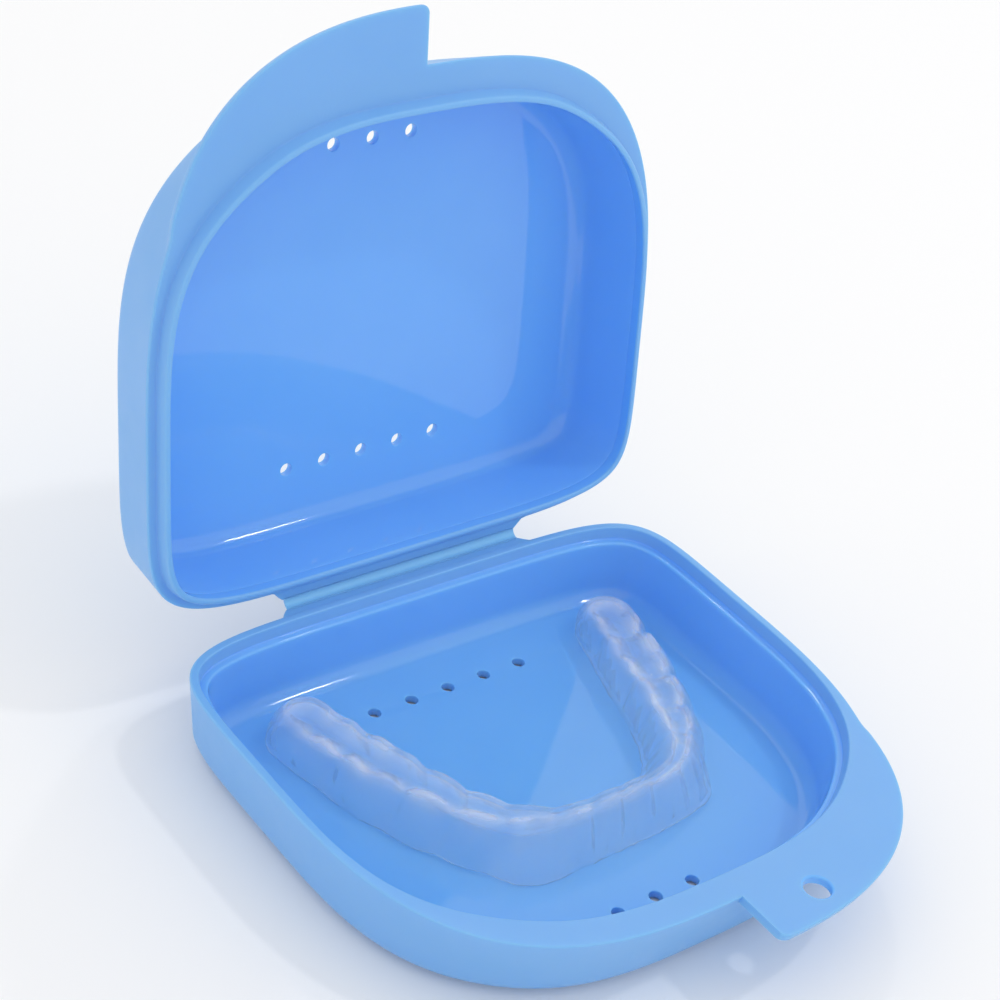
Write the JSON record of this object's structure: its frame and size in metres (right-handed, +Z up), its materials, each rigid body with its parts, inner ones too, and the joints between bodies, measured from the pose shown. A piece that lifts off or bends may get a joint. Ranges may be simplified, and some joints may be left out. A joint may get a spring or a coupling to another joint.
{
  "type": "mouthguard with case",
  "caption": "Clear formed dental mouthguard lying in a vented plastic box whose lid opens on a living hinge; two finger tabs, one with a lanyard hole.",
  "frame": {"origin": "middle of the flat underside of the base, midway between the front and back of its rim", "axes": "+Z up, +X to the right, hinge on the +Y side and finger tabs on the -Y side"},
  "size_m": [0.08, 0.101, 0.0909],
  "materials": {
    "case_plastic": "sky blue polypropylene, satin outside and glossy inside",
    "hinge_plastic": "the same polypropylene, thinned and slightly whitened by bending",
    "clear_sheet": "clear thermoformed sheet, glossy with a faint milky blue cast"
  },
  "bodies": {
    "base": {"base_tray": "case_plastic", "hinge_web": "hinge_plastic"},
    "lid": {"lid": "case_plastic"},
    "mouthguard": {"mouthguard": "clear_sheet"}
  },
  "joints": [
    {"name": "lid_hinge", "type": "hinge", "parent": "base", "child": "lid", "pos_m": [0, 0.03673, 0.0125], "axis": [-1, 0, 0], "range_deg": [-98.4, 81.6], "deforming": ["hinge_web"]},
    {"name": "mouthguard_lift", "type": "slide", "parent": "base", "child": "mouthguard", "axis": [0, 0, 1], "range_m": [0, 0.06]}
  ]
}
